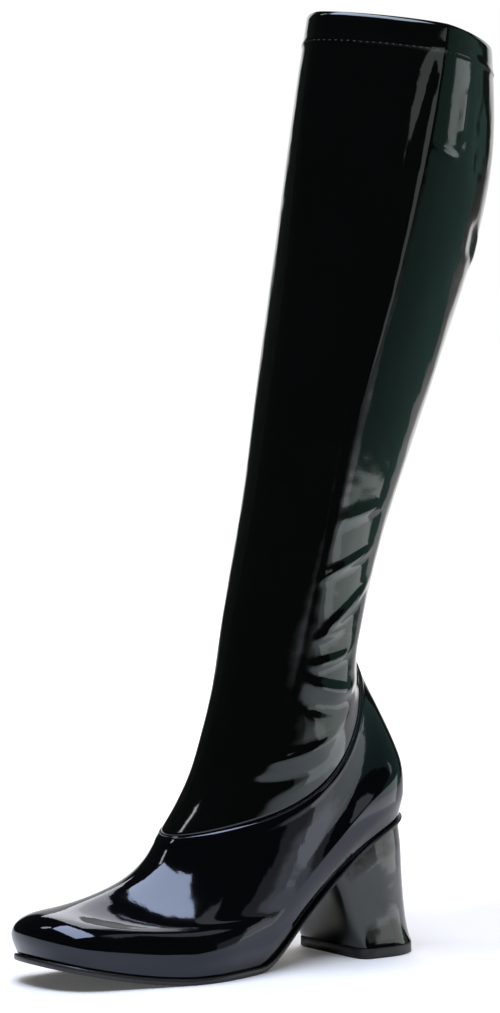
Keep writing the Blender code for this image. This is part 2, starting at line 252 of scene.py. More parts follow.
def leg_ring(level, turns, inset=0.0):
    """The points of one ring of the leg, as rows of forward, outward and up."""
    ring = {name: curve(level) for name, curve in leg_curves.items()}
    power = 2 / ring["roundness"]
    crease, half = ring["crease"], ring["width"] - inset
    depth = ring["depth"] - 2 * inset
    points = []
    for turn in turns:
        cosine, sine = math.cos(turn), math.sin(turn)
        reach = math.copysign(abs(cosine) ** power, -cosine)
        along = crease + reach * (crease if reach < 0 else 1 - crease)
        forward = ring["middle"] - depth / 2 + depth * along
        outward = swing(forward) + math.copysign(half * abs(sine) ** power, sine)
        up = ring["back_up"] * (1 - along) + ring["front_up"] * along
        up -= ring["peak"] * math.sin(math.pi * along**DIP_FORWARD)
        points.append((forward, outward, up))
    return points


print("rim in front", [round(c, 4) for c in leg_ring(1, [math.pi])[0]])

# %% [markdown]
# A skin over rings is made as a sewer would pull up a tube of cloth: one circle of points, and
# then its edge is extruded once for each ring and laid where that ring goes. Blender's extrude
# keeps the faces in order all the way up.


# %% Skins from extruded rings
def pull_tube(rings):
    """A bmesh skin over rings of forward, outward and up, all with the same number of points."""
    bm = bmesh.new()
    made = bmesh.ops.create_circle(bm, segments=len(rings[0]), radius=1, cap_ends=False)
    edge_points = made["verts"]
    for point, target in zip(edge_points, rings[0]):
        point.co = place(*target)
    edges = list(bm.edges)
    for ring in rings[1:]:
        order = {point: i for i, point in enumerate(edge_points)}
        lifted = bmesh.ops.extrude_edge_only(bm, edges=edges)["geom"]
        edges = [g for g in lifted if isinstance(g, bmesh.types.BMEdge)]
        edges = [e for e in edges if all(v in lifted for v in e.verts)]
        fresh = [g for g in lifted if isinstance(g, bmesh.types.BMVert)]
        lookup = {}
        for point in fresh:
            below = next(
                e.other_vert(point) for e in point.link_edges if e.other_vert(point) in order
            )
            lookup[order[below]] = point
        edge_points = [lookup[i] for i in range(len(ring))]
        for point, target in zip(edge_points, ring):
            point.co = place(*target)
    return bm


def keep(name, bm, *materials, sharp=40):
    """Makes the finished bmesh an object that rides on the boot."""
    bmesh.ops.recalc_face_normals(bm, faces=bm.faces)
    mesh = bpy.data.meshes.new(name)
    bm.to_mesh(mesh)
    bm.free()
    mesh.shade_smooth()
    mesh.set_sharp_from_angle(angle=math.radians(sharp))
    for finish in materials:
        mesh.materials.append(finish)
    piece = bpy.data.objects.new(name, mesh)
    bpy.context.scene.collection.objects.link(piece)
    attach(piece, "root")
    print(name, len(mesh.polygons), "faces")
    return piece

# %% [markdown]
# Every finish here is a node tree, so the few nodes that all of them need get a helper each: a plain
# maths node, a ramp, a noise, a mix of two shades and a bump. Patterns read Object coordinates,
# which lie still on the boot because every piece has its place in its mesh.


# %% Helpers for node trees
def new_finish(name):
    """A material, its node tree and its shader."""
    made = bpy.data.materials.new(name)
    made.use_nodes = True
    return made, made.node_tree, made.node_tree.nodes["Principled BSDF"]


def node_of(tree, kind, operation=None, *sources, values=()):
    """A node with its operation set and its first inputs linked or filled in."""
    node = tree.nodes.new(kind)
    if operation:
        node.operation = operation
    for i, source in enumerate(sources):
        tree.links.new(source, node.inputs[i])
    for i, value in enumerate(values, len(sources)):
        node.inputs[i].default_value = value
    return node


def ramp_of(tree, source, limits, values=(0.0, 1.0), kind="SMOOTHSTEP"):
    """A ramp between two values while the source goes from one limit to the other."""
    ramp = node_of(tree, "ShaderNodeMapRange", None, source, values=(*limits, *values))
    ramp.interpolation_type = kind
    return ramp.outputs["Result"]


def noise_of(tree, where, scale, detail, roughness=0.5):
    """A noise on Object coordinates."""
    noise = tree.nodes.new("ShaderNodeTexNoise")
    noise.inputs["Scale"].default_value = scale
    noise.inputs["Detail"].default_value = detail
    noise.inputs["Roughness"].default_value = roughness
    tree.links.new(where, noise.inputs["Vector"])
    return noise.outputs["Fac"]


def mix_of(tree, share, first, second):
    """A colour between two shades."""
    mix = tree.nodes.new("ShaderNodeMix")
    mix.data_type = "RGBA"
    mix.inputs["A"].default_value = (*first, 1)
    mix.inputs["B"].default_value = (*second, 1)
    tree.links.new(share, mix.inputs["Factor"])
    return mix.outputs["Result"]


def bump_of(tree, height, strength, distance, under=None):
    """A relief of so many metres, on top of another one if that is given."""
    bump = tree.nodes.new("ShaderNodeBump")
    bump.inputs["Strength"].default_value = strength
    bump.inputs["Distance"].default_value = distance
    tree.links.new(height, bump.inputs["Height"])
    if under:
        tree.links.new(under, bump.inputs["Normal"])
    return bump.outputs["Normal"]


print("helpers ready")

# %% [markdown]
# Patent leather is a black base under a thick clear film. The black gives back almost no light,
# so what the eye sees is the room mirrored in the film, bent by every ripple of the hide under it.
# The shader is a dark base with very little roughness, and two soft noises bend its surface: a
# fine orange peel and a slower ripple. A third one dulls the gloss in patches, as handling does.

# %% Patent finishes
SMUDGE_SCALE = 22
SMUDGE_LIMITS = (0.42, 0.75)
SMUDGE_DULLS = 0.05
SMUDGE_LIGHTENS = 2.2
PEEL_SCALE = 900
PEEL_HEIGHT = 0.00003


def patent(name, base, tint, gloss, film, ripple, ripple_size):
    """A patent finish: its roughness, the film's index, and its slow waves' height and scale."""
    made, tree, shader = new_finish(name)
    shader.inputs["IOR"].default_value = film
    shader.inputs["Specular Tint"].default_value = (*tint, 1)
    where = tree.nodes.new("ShaderNodeTexCoord").outputs["Object"]
    smudge = noise_of(tree, where, SMUDGE_SCALE, 4, 0.6)
    dull = ramp_of(tree, smudge, SMUDGE_LIMITS, (gloss, gloss + SMUDGE_DULLS), "LINEAR")
    tree.links.new(dull, shader.inputs["Roughness"])
    handled = [c * SMUDGE_LIGHTENS for c in base]
    tree.links.new(mix_of(tree, smudge, base, handled), shader.inputs["Base Color"])
    peel = bump_of(tree, noise_of(tree, where, PEEL_SCALE, 2), 0.5, PEEL_HEIGHT)
    wave = bump_of(tree, noise_of(tree, where, ripple_size, 2), 1.0, ripple, peel)
    tree.links.new(wave, shader.inputs["Normal"])
    return made


foot_patent = patent("foot_patent", (0.0007, 0.0007, 0.0009), (0.80, 0.88, 1.0), 0.035, 1.52, 0.0004, 45)
leg_patent = patent("leg_patent", (0.0006, 0.0008, 0.0007), (0.84, 0.96, 0.92), 0.06, 1.58, 0.0007, 38)
heel_patent = patent("heel_patent", (0.0007, 0.0008, 0.0008), (0.94, 1.0, 0.97), 0.05, 1.62, 0.0003, 60)
print("patent finishes made")

# %% [markdown]
# The other finishes are matt. The sole's edge and the lift are rubber, with a fine grain and a
# little greying where they rub. The lining is a knitted backing, and the footbed a soft fabric:
# both get a tiny weave from a wave pattern, so that the inside doesn't look like plastic.

# %% Matt finishes
BLOTCH_SCALE = 60
WEAVE_BEND = 1.5
GRAIN_STRENGTH = 0.6


def grained(name, base, worn, roughness, grain, height, woven=False):
    """A matt finish between two shades, with a grain or a weave."""
    made, tree, shader = new_finish(name)
    shader.inputs["Roughness"].default_value = roughness
    where = tree.nodes.new("ShaderNodeTexCoord").outputs["Object"]
    blotch = noise_of(tree, where, BLOTCH_SCALE, 5)
    tree.links.new(mix_of(tree, blotch, base, worn), shader.inputs["Base Color"])
    if woven:
        weave = node_of(tree, "ShaderNodeTexWave", None, where)
        weave.inputs["Scale"].default_value = grain
        weave.inputs["Distortion"].default_value = WEAVE_BEND
        fine = weave.outputs["Fac"]
    else:
        fine = noise_of(tree, where, grain, 3)
    tree.links.new(bump_of(tree, fine, GRAIN_STRENGTH, height), shader.inputs["Normal"])
    return made


sole_rubber = grained("sole_rubber", (0.006, 0.006, 0.006), (0.014, 0.014, 0.014), 0.38, 1400, 0.00006)
lift_rubber = grained("lift_rubber", (0.008, 0.008, 0.008), (0.02, 0.02, 0.02), 0.5, 1200, 0.0001)
footbed = grained("footbed", (0.018, 0.018, 0.02), (0.03, 0.03, 0.032), 0.8, 700, 0.0002, woven=True)
lining = grained("lining", (0.02, 0.021, 0.022), (0.034, 0.035, 0.036), 0.85, 600, 0.0002, woven=True)
stitch_thread = grained("stitch_thread", (0.012, 0.01, 0.01), (0.024, 0.02, 0.02), 0.5, 2500, 0.00005)
print("matt finishes made")

# %% [markdown]
# The foot piece is stiff: it was pulled over a last and keeps that shape empty. Its wall is made
# by thickening the skin inwards, and the inner faces take the lining. The skin is pulled in hard
# just above the sole, so the wall leans in there, and a narrow groove below the seam with the leg
# shows where the edge is folded over.

# %% The foot piece
FOOT_WALL = 0.0018
FOOT_AROUND = 176
FOOT_RINGS_MADE = 96
LEAN_LEVEL = 0.18
LEAN_BELOW = 0.10
LEAN_ABOVE = 0.25
LEAN_DEPTH = 0.0010
BALL_LEAN = 0.0008
BALL_ALONG = 0.62
BALL_SPREAD = 0.22
FOLDED_EDGE = 0.0032
FOLDED_WIDTH = 0.0012
FOLDED_DEPTH = 0.00025
foot_turns = turns_of(FOOT_AROUND)


def bell(off, spread):
    """A soft bump of height 1 that fades at about one spread from its middle."""
    return math.exp(-((off / spread) ** 2))


def pushed_out(rings, amount):
    """The rings moved along the skin's own outward direction by amount(ring, point)."""
    grid = np.array([[tuple(place(*p)) for p in ring] for ring in rings])
    round_way = np.roll(grid, -1, axis=1) - np.roll(grid, 1, axis=1)
    up_way = np.gradient(grid, axis=0)
    out = np.cross(round_way, up_way)
    out /= np.maximum(np.linalg.norm(out, axis=2, keepdims=True), 1e-12)
    by = np.array([[amount(i, j) for j in range(grid.shape[1])] for i in range(grid.shape[0])])
    moved = grid + out * by[:, :, None]
    return [[(HEEL_LENGTH / 2 - y, x, z) for x, y, z in ring] for ring in moved.tolist()]


def give_wall(piece, thickness):
    """Thickens a skin inwards, and its inner faces take the second finish."""
    wall = piece.modifiers.new("wall", "SOLIDIFY")
    wall.thickness = thickness
    wall.offset = -1
    wall.use_even_offset = True
    wall.material_offset = 1
    return wall


def make_foot():
    levels = np.linspace(0, 1, FOOT_RINGS_MADE)
    rings = []
    for level in levels:
        ring = foot_ring(level, foot_turns)
        rings.append([(f, o, u + CLEARANCE * (1 - 2 * level)) for f, o, u in ring])

    def pulled_in(i, j):
        groove = bell((1 - levels[i]) * COUNTER_RISE - FOLDED_EDGE, FOLDED_WIDTH)
        off = levels[i] - LEAN_LEVEL
        lean = bell(off, LEAN_BELOW if off < 0 else LEAN_ABOVE)
        along = (1 - math.cos(foot_turns[j])) / 2
        depth = LEAN_DEPTH + BALL_LEAN * bell(along - BALL_ALONG, BALL_SPREAD)
        return -FOLDED_DEPTH * groove - depth * lean

    piece = keep("foot_piece", pull_tube(pushed_out(rings, pulled_in)), foot_patent, lining)
    give_wall(piece, FOOT_WALL).material_offset_rim = 1
    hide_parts("foot_upper")


make_foot()

# %% [markdown]
# The creases of the leg are given one by one, each as a soft trough or ridge with its own place,
# length, width, depth and slant. "up" runs from the seam to the rim, and "around" from the back
# seam over the outer edge at a quarter to the front at a half. Lengths are in millimetres. A
# mirror shows a slope of a few degrees as a hard patch, so most are 1 mm deep or less.

# %% The leg's folds
Fold = namedtuple("Fold", "up around length width depth slant")
FOLDS = [
    Fold(0.362, 0.190, 20, 4.0, -0.6, 4),
    Fold(0.292, 0.205, 24, 3.0, -1.0, -4),
    Fold(0.226, 0.180, 22, 3.4, -1.2, -26),
    Fold(0.205, 0.225, 12, 2.4, -0.7, 14),
    Fold(0.166, 0.212, 18, 2.8, -1.0, 22),
    Fold(0.118, 0.200, 34, 2.6, -1.7, 48),
    Fold(0.100, 0.215, 30, 3.6, 1.2, 48),
    Fold(0.062, 0.262, 24, 2.4, -1.0, 14),
    Fold(0.040, 0.300, 32, 4.0, 0.8, 14),
    Fold(0.890, 0.180, 20, 2.0, -0.6, 90),
    Fold(0.835, 0.205, 12, 2.2, -0.6, 20),
    Fold(0.860, 0.130, 34, 6.0, 0.8, 84),
    Fold(0.720, 0.090, 18, 6.0, 1.2, 80),
    Fold(0.700, 0.060, 18, 3.0, -1.1, 82),
    Fold(0.560, 0.100, 40, 7.0, -0.5, 76),
]
FOLD_ENDS = 1.6
GIRTH_SHARE = 2.9
CALF_GROWTH = 1.4
leg_length = BOOT_HEIGHT - throat_up


def girth_at(level):
    """Roughly how far it is round the leg, in millimetres."""
    width = ANKLE_WIDTH + (CALF_WIDTH - ANKLE_WIDTH) * min(1, level * CALF_GROWTH)
    return GIRTH_SHARE * width * 1000


def fold_depth(level, turn):
    """How far the folds lift the leg's skin at a place, in metres."""
    girth = girth_at(level)
    around = turn / (2 * math.pi)
    total = 0.0
    for fold in FOLDS:
        side = (around - fold.around + 0.5) % 1 - 0.5
        x, y = side * girth, (level - fold.up) * leg_length * 1000
        slant = math.radians(fold.slant)
        run = x * math.cos(slant) + y * math.sin(slant)
        cross = -x * math.sin(slant) + y * math.cos(slant)
        if abs(run) > 2 * fold.length or abs(cross) > 3 * fold.width:
            continue
        ends = math.exp(-((run / fold.length * FOLD_ENDS) ** 4))
        total += fold.depth * bell(cross, fold.width) * ends
    return total / 1000


print(len(FOLDS), "folds")

# %% [markdown]
# Down the outer side runs the long crease where the empty leg was folded flat. The film keeps such
# a crease as a low ridge with a narrow top, so its two sides mirror different parts of the room.
# Its line wanders, and a few places along it are enough for a fair curve. Its height, its reach to
# the sides and the width of its top are in millimetres.

# %% The long crease
CREASE_UP = (0.00, 0.16, 0.22, 0.32, 0.45, 0.58, 0.70, 0.845, 0.95, 1.00)
CREASE_AROUND = (0.330, 0.305, 0.292, 0.283, 0.297, 0.306, 0.308, 0.300, 0.283, 0.278)
CREASE_HEIGHT = 1.7
CREASE_REACH = 8.0
CREASE_TOP = 0.9
crease_line = fair(CREASE_UP, CREASE_AROUND)


def crease_height(level, turn):
    """How far the long crease lifts the skin at a place, in metres."""
    aside = (turn / (2 * math.pi) - crease_line(level)) * girth_at(level)
    away = math.hypot(aside, CREASE_TOP) - CREASE_TOP
    return CREASE_HEIGHT / 1000 * math.exp(-away / CREASE_REACH)


print("crease", CREASE_HEIGHT, "mm high")

# %% [markdown]
# The leg is one long tube with a seam up the front and a turned hem. The seam's pull shows as a
# row of small puckers beside it. The hem is a thicker band with one line of stitches below it.

# %% The leg
LEG_WALL = 0.0012
HEM_WALL = 0.0024
HEM_HEIGHT = 0.0135
HEM_STEP = 0.003
HEM_RINGS = 7
SEAM_STEP = 0.0007
SEAM_FADE = 0.06
LEG_AROUND = 168
LEG_RINGS_MADE = 270
EASE_BELOW = 0.04
EASE_ABOVE = 0.03
CREASE_EASE = 5
FRONT_SEAM = math.pi + 0.15
SEAM_RADIUS = 0.045
SEAM_WIDTH = 0.0016
FRONT_GROOVE = 0.0003
BACK_GROOVE = 0.0006
PUCKER_LENGTH = 0.017
PUCKER_WIDTH = 0.006
PUCKER_DEPTH = 0.00012
HEM_GROOVE = 0.0005
HEM_GROOVE_WIDTH = 0.0014
leg_turns = turns_of(LEG_AROUND)
hem_level = 1 - HEM_HEIGHT / leg_length


def seams_and_puckers(level, turn):
    """The front seam with its puckers, and the back seam, in metres outward."""
    off_front = (turn - FRONT_SEAM) * SEAM_RADIUS
    off_back = min(turn, 2 * math.pi - turn) * SEAM_RADIUS
    wave = 2 * math.pi * level * leg_length / PUCKER_LENGTH
    pucker = bell(off_front, PUCKER_WIDTH) * math.sin(wave + 2 * math.sin(wave / 5))
    front = PUCKER_DEPTH * pucker - FRONT_GROOVE * bell(off_front, SEAM_WIDTH)
    return front - BACK_GROOVE * bell(off_back, SEAM_WIDTH)


def make_leg():
    below = np.linspace(0, hem_level - HEM_STEP, LEG_RINGS_MADE - HEM_RINGS - 1)
    levels = [*below, hem_level - HEM_STEP / 2, *np.linspace(hem_level, 1, HEM_RINGS)]
    rings = []
    for level in levels:
        ring = leg_ring(level, leg_turns, SEAM_STEP * max(0.0, 1 - level / SEAM_FADE))
        rings.append([(f, o, u + CLEARANCE * (1 - level)) for f, o, u in ring])

    def stand_out(i, j):
        level, turn = levels[i], leg_turns[j]
        ease = min(1.0, level / EASE_BELOW) * min(1.0, max(0.0, (hem_level - level) / EASE_ABOVE))
        out = fold_depth(level, turn) + crease_height(level, turn) * min(1, level * CREASE_EASE)
        out += seams_and_puckers(level, turn)
        return out * ease - HEM_GROOVE * bell((hem_level - level) * leg_length, HEM_GROOVE_WIDTH)

    piece = keep("leg", pull_tube(pushed_out(rings, stand_out)), leg_patent, lining)
    thick = piece.vertex_groups.new(name="thickness")
    for i, level in enumerate(levels):
        share = 1.0 if level >= hem_level else LEG_WALL / HEM_WALL
        thick.add(list(range(i * LEG_AROUND, (i + 1) * LEG_AROUND)), share, "REPLACE")
    give_wall(piece, HEM_WALL).vertex_group = "thickness"
    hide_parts("shaft")


make_leg()

# %% [markdown]
# One line of stitches holds the hem. Each stitch is a short fat thread that dips into the skin at
# both ends, so it is a small stretched ball with few faces, copied along the hem's line.

# %% The hem's stitches
STITCH_PITCH = 0.0034
STITCH_LENGTH = 0.0024
STITCH_WIDTH = 0.0008
STITCHES_BELOW = 0.002
STITCHES_PROUD = 0.00005


def make_stitches(name, line):
    """A row of stitches along a closed line of points on the skin."""
    bm = bmesh.new()
    points = [*line, line[0]]
    lengths = np.cumsum([0.0] + [(b - a).length for a, b in zip(points, points[1:])])
    count = int(lengths[-1] / STITCH_PITCH)
    for k in range(count):
        start = np.interp((k + 0.5) * STITCH_PITCH, lengths, range(len(points)))
        i = min(int(start), len(points) - 2)
        middle = points[i].lerp(points[i + 1], start - i)
        way = (points[i + 1] - points[i]).normalized()
        made = bmesh.ops.create_uvsphere(bm, u_segments=6, v_segments=5, radius=0.5)["verts"]
        turned = way.to_track_quat("Z", "Y")
        for point in made:
            shape = Vector((point.co.x, point.co.y, 0)) * STITCH_WIDTH
            shape.z = point.co.z * STITCH_LENGTH
            point.co = turned @ shape + middle
    return keep(name, bm, stitch_thread, sharp=80)


hem_ring = leg_ring(hem_level - STITCHES_BELOW, turns_of(360), -STITCHES_PROUD)
hem_stitches = make_stitches("hem_stitches", [place(*p) for p in hem_ring])

# %% [markdown]
# The sole is one thin plate that follows the last from toe to heel, with a rounded edge that shows
# round the toe. It is the feather line's own ring moved out a little, pulled up in a few steps that
# round its edge, and closed with strips. The insole is the same ring moved in, inside the foot.

# %% Sole and insole
SEAT_THICKNESS = 0.0020
THIN_UNTIL = 0.25
THICK_FROM = 0.5
SOLE_EDGE = 0.0016
SOLE_ROUNDING = 0.0006
INSOLE_THICKNESS = 0.0024
INSOLE_MARGIN = 0.0008
INSOLE_ROUNDING = 0.0004
PLATE_AROUND = 160
EdgeStep = namedtuple("EdgeStep", "up inset")
EDGE_STEPS = [
    EdgeStep(0.00, 1.0),
    EdgeStep(0.12, 0.4),
    EdgeStep(0.30, 0.0),
    EdgeStep(0.70, 0.0),
    EdgeStep(0.88, 0.4),
    EdgeStep(1.00, 1.0),
]


def plate_ring(grow):
    """The feather line's plan moved square to itself, with the station of each point."""
    plan = foot_ring(0, turns_of(PLATE_AROUND))
    ring = []
    for i, (forward, outward, _) in enumerate(plan):
        before, after = plan[i - 1], plan[(i + 1) % PLATE_AROUND]
        along, across = after[0] - before[0], after[1] - before[1]
        step = grow / math.hypot(along, across)
        ring.append((forward - step * across, outward + step * along, forward))
    return ring


def seat_share(forward):
    """0 under the seat, where the sole is thin, and 1 from the ball on."""
    share = (forward / FOOT_LENGTH - THIN_UNTIL) / (THICK_FROM - THIN_UNTIL)
    share = min(max(share, 0.0), 1.0)
    return share * share * (3 - 2 * share)


def sole_under(forward):
    """Height of the sole's underside."""
    thick = SEAT_THICKNESS + (SOLE_THICKNESS - SEAT_THICKNESS) * seat_share(forward)
    return last_bottom(forward) - thick


def as_made(height):
    """A height as the sole's own ring carries it, by the place that the ring was moved to."""
    half = plate_ring(SOLE_EDGE)[: PLATE_AROUND // 2 + 1]
    knots, heights = [row[0] for row in half], [height(row[2]) for row in half]
    return lambda forward: float(np.interp(forward, knots, heights))


def close_ends(bm, count):
    """Closes the first and the last ring with strips from side to side."""
    bm.verts.ensure_lookup_table()
    for first in (0, len(bm.verts) - count):
        rim = [bm.verts[first + i] for i in range(count)]
        for i in range(count // 2):
            corners = [rim[i], rim[i + 1], rim[-i - 1], rim[-i]]
            if i == 0:
                corners = [rim[0], rim[1], rim[-1]]
            elif i == count // 2 - 1:
                corners = [rim[i], rim[i + 1], rim[-i]]
            bm.faces.new(corners)


def make_plate(name, grow, top, bottom, rounding, finish):
    """A plate between two heights, with its edge rounded over."""
    top, bottom = as_made(top), as_made(bottom)
    rows = []
    for step in EDGE_STEPS:
        row = []
        for f, o, _ in plate_ring(grow - step.inset * rounding):
            row.append((f, o, bottom(f) + (top(f) - bottom(f)) * step.up))
        rows.append(row)
    bm = pull_tube(rows)
    close_ends(bm, PLATE_AROUND)
    return keep(name, bm, finish, sharp=50)


outsole = make_plate("sole", SOLE_EDGE, last_bottom, sole_under, SOLE_ROUNDING, sole_rubber)
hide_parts("outsole")
insole = make_plate(
    "insole_board",
    -(FOOT_WALL + INSOLE_MARGIN),
    lambda forward: last_bottom(forward) + CLEARANCE + INSOLE_THICKNESS,
    lambda forward: last_bottom(forward) + CLEARANCE,
    INSOLE_ROUNDING,
    footbed,
)
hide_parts("insole")

# %% [markdown]
# The heel is a moulded block wrapped in the same patent. It flares from a narrow waist to a wider
# tread, round behind and flat in front, where the cover is glued over its two front corners. The
# rubber top lift below it wears first, so it is a piece of its own that can be changed.

# %% Heel and top lift
HEEL_WIDTH = 0.058
HEEL_TOP_LENGTH = 0.054
HEEL_TOP_WIDTH = 0.051
HEEL_SETBACK = 0.006
HEEL_WAIST = 0.0015
HEEL_BACK = 0.56
BREAST_POWER = 0.28
WAIST_UNTIL = 0.8
WAIST_POWER = 0.6
HEEL_AROUND = 120
HEEL_LEVELS = 40
LIFT_THICKNESS = 0.0055
LIFT_ROUNDING = 0.0005
LIFT_MIDDLE_TO_END = 0.023
TREAD_ROUNDING = 0.0007
TREAD_ROUNDING_UP = 0.0006


def heel_outline(share):
    """The heel's plan at a share of its height."""
    length = HEEL_LENGTH + (HEEL_TOP_LENGTH - HEEL_LENGTH) * share
    waist = HEEL_WAIST * math.sin(math.pi * min(1.0, share / WAIST_UNTIL) ** WAIST_POWER)
    half = (HEEL_WIDTH + (HEEL_TOP_WIDTH - HEEL_WIDTH) * share) / 2 - waist
    middle = HEEL_SETBACK * share + waist + length * HEEL_BACK
    ring = []
    for turn in turns_of(HEEL_AROUND):
        cosine, sine = math.cos(turn), math.sin(turn)
        behind = cosine > 0
        power = 1.0 if behind else BREAST_POWER
        reach = math.copysign(abs(cosine) ** power, cosine)
        side = math.copysign(abs(sine) ** power, sine)
        part = HEEL_BACK if behind else 1 - HEEL_BACK
        ring.append((middle - reach * length * part, side * half))
    return ring


def make_heel():
    foot = LIFT_THICKNESS + CLEARANCE
    seat = as_made(sole_under)
    rows = []
    for share in np.linspace(0, 1, HEEL_LEVELS):
        row = []
        for forward, outward in heel_outline(share):
            top = seat(forward) - CLEARANCE
            row.append((forward, outward, foot + (top - foot) * share))
        rows.append(row)
    bm = pull_tube(rows)
    close_ends(bm, HEEL_AROUND)
    return keep("heel_block", bm, heel_patent, sharp=45)


def make_lift():
    edge = [
        (0, TREAD_ROUNDING),
        (TREAD_ROUNDING_UP, 0),
        (LIFT_THICKNESS - LIFT_ROUNDING, 0),
        (LIFT_THICKNESS, LIFT_ROUNDING),
    ]
    rows = []
    for up, inset in edge:
        along, across = inset / LIFT_MIDDLE_TO_END, inset / (HEEL_WIDTH / 2)
        row = []
        for forward, outward in heel_outline(0):
            off = forward - HEEL_LENGTH / 2
            row.append((forward - along * off, outward - across * outward, up))
        rows.append(row)
    bm = pull_tube(rows)
    close_ends(bm, HEEL_AROUND)
    return keep("lift", bm, lift_rubber, sharp=50)


heel_block = make_heel()
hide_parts("heel")
lift = make_lift()
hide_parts("top_lift")

# %% [markdown]
# Patent shows its surroundings, so the room is built for its reflections. It is dark, as the front
# of the leg mirrors it, apart from a glowing wedge behind the boot that gives the leg its thin
# light edges. The camera's own rays see white paper all round, so the boot stands on a plain pale
# ground from every side. Close to the boot the paper glows only faintly for those rays, a painted
# light that lightens the boot's shadow on the floor. The Light Path node tells those rays from the
# mirrored ones.

# %% The room
CAMERA_AZIMUTH = math.radians(53)
back_way = Vector((-math.sin(CAMERA_AZIMUTH), math.cos(CAMERA_AZIMUTH), 0))
side_way = Vector((math.cos(CAMERA_AZIMUTH), math.sin(CAMERA_AZIMUTH), 0))
GLOW_AZIMUTH = math.radians(229)
glow_way = Vector((math.sin(GLOW_AZIMUTH), -math.cos(GLOW_AZIMUTH), 0))
WEDGE_LIMITS = (0.90, 0.96)
WEDGE_HEIGHT = 0.78
GLOW_LIMITS = (0.0, 0.6)
PAPER_LIMITS = (0.3, 0.8)
# How brightly the paper glows near the boot for the camera: painted light that lifts the boot's shadow.
SHADOW_LIFTING_GLOW = 0.07
ROOM_SHADE = (0.8, 1.0, 0.9)
ROOM_LIGHT = 0.025
FLOOR_HALF = 15


def in_wedge(tree, flat):
    """How far a level direction lies inside the glowing wedge, from 0 to 1."""
    unit = node_of(tree, "ShaderNodeVectorMath", "NORMALIZE", flat).outputs["Vector"]
    along = node_of(tree, "ShaderNodeVectorMath", "DOT_PRODUCT", unit, values=(glow_way,))
    return ramp_of(tree, along.outputs["Value"], WEDGE_LIMITS)


def level_part(tree, vector):
    """A direction or place without its height."""
    part = node_of(tree, "ShaderNodeVectorMath", "MULTIPLY", vector, values=((1, 1, 0),))
    return part.outputs["Vector"]


def maths(tree, operation, *sources, values=()):
    return node_of(tree, "ShaderNodeMath", operation, *sources, values=values).outputs["Value"]


def camera_rays(tree):
    return tree.nodes.new("ShaderNodeLightPath").outputs["Is Camera Ray"]


def make_room():
    """The world: dark, with the wedge, and white for the camera's own rays."""
    room = bpy.data.worlds.new("room")
    bpy.context.scene.world = room
    room.use_nodes = True
    tree = room.node_tree
    way = tree.nodes.new("ShaderNodeTexCoord").outputs["Generated"]
    height = node_of(tree, "ShaderNodeSeparateXYZ", None, way).outputs["Z"]
    low = maths(tree, "LESS_THAN", height, values=(WEDGE_HEIGHT,))
    glow = maths(tree, "MULTIPLY", in_wedge(tree, level_part(tree, way)), low)
    bright = maths(tree, "MAXIMUM", glow, camera_rays(tree))
    sky = tree.nodes["Background"]
    tree.links.new(mix_of(tree, bright, ROOM_SHADE, (1, 1, 1)), sky.inputs["Color"])
    tree.links.new(ramp_of(tree, bright, (0, 1), (ROOM_LIGHT, 1.0)), sky.inputs["Strength"])


def pale_paper():
    """White paper that glows in the wedge, and for the camera all round: faintly near the boot, a
    painted light on its shadow, and fully further off.
    """
    pale, tree, shader = new_finish("pale_paper")
    shader.inputs["Base Color"].default_value = (0.96, 0.94, 0.88, 1)
    shader.inputs["Roughness"].default_value = 0.9
    shader.inputs["Specular IOR Level"].default_value = 0.1
    shader.inputs["Emission Color"].default_value = (1, 1, 1, 1)
    flat = level_part(tree, tree.nodes.new("ShaderNodeTexCoord").outputs["Object"])
    behind = node_of(tree, "ShaderNodeVectorMath", "DOT_PRODUCT", flat, values=(glow_way,))
    begun = ramp_of(tree, behind.outputs["Value"], GLOW_LIMITS)
    glow = maths(tree, "MULTIPLY", in_wedge(tree, flat), begun)
    far_off = node_of(tree, "ShaderNodeVectorMath", "LENGTH", flat).outputs["Value"]
    # Near the boot the camera sees a faint glow of the paper: painted light that lightens the boot's
    # shadow.
    whiter = ramp_of(tree, far_off, PAPER_LIMITS, (SHADOW_LIFTING_GLOW, 1.0))
    seen = maths(tree, "MULTIPLY", camera_rays(tree), whiter)
    tree.links.new(maths(tree, "MAXIMUM", glow, seen), shader.inputs["Emission Strength"])
    return pale


def set_up(name, bm, finish):
    """Makes a bmesh an object of the studio, which isn't part of the boot."""
    mesh = bpy.data.meshes.new(name)
    bm.to_mesh(mesh)
    bm.free()
    mesh.materials.append(finish)
    prop = bpy.data.objects.new(name, mesh)
    bpy.context.scene.collection.objects.link(prop)
    return prop


make_room()
ground = bmesh.new()
bmesh.ops.create_grid(ground, x_segments=1, y_segments=1, size=FLOOR_HALF)
floor = set_up("floor", ground, pale_paper())
print("floor laid,", 2 * FLOOR_HALF, "m wide")

# %% [markdown]
# The lights are soft boxes, and the eye sees them twice: as the light on the floor and as shapes in
# the patent. Each one is placed where a piece of the boot mirrors it. A box's brightness is what
# a mirror shows, so it is given instead of its power: power is brightness times area times pi.

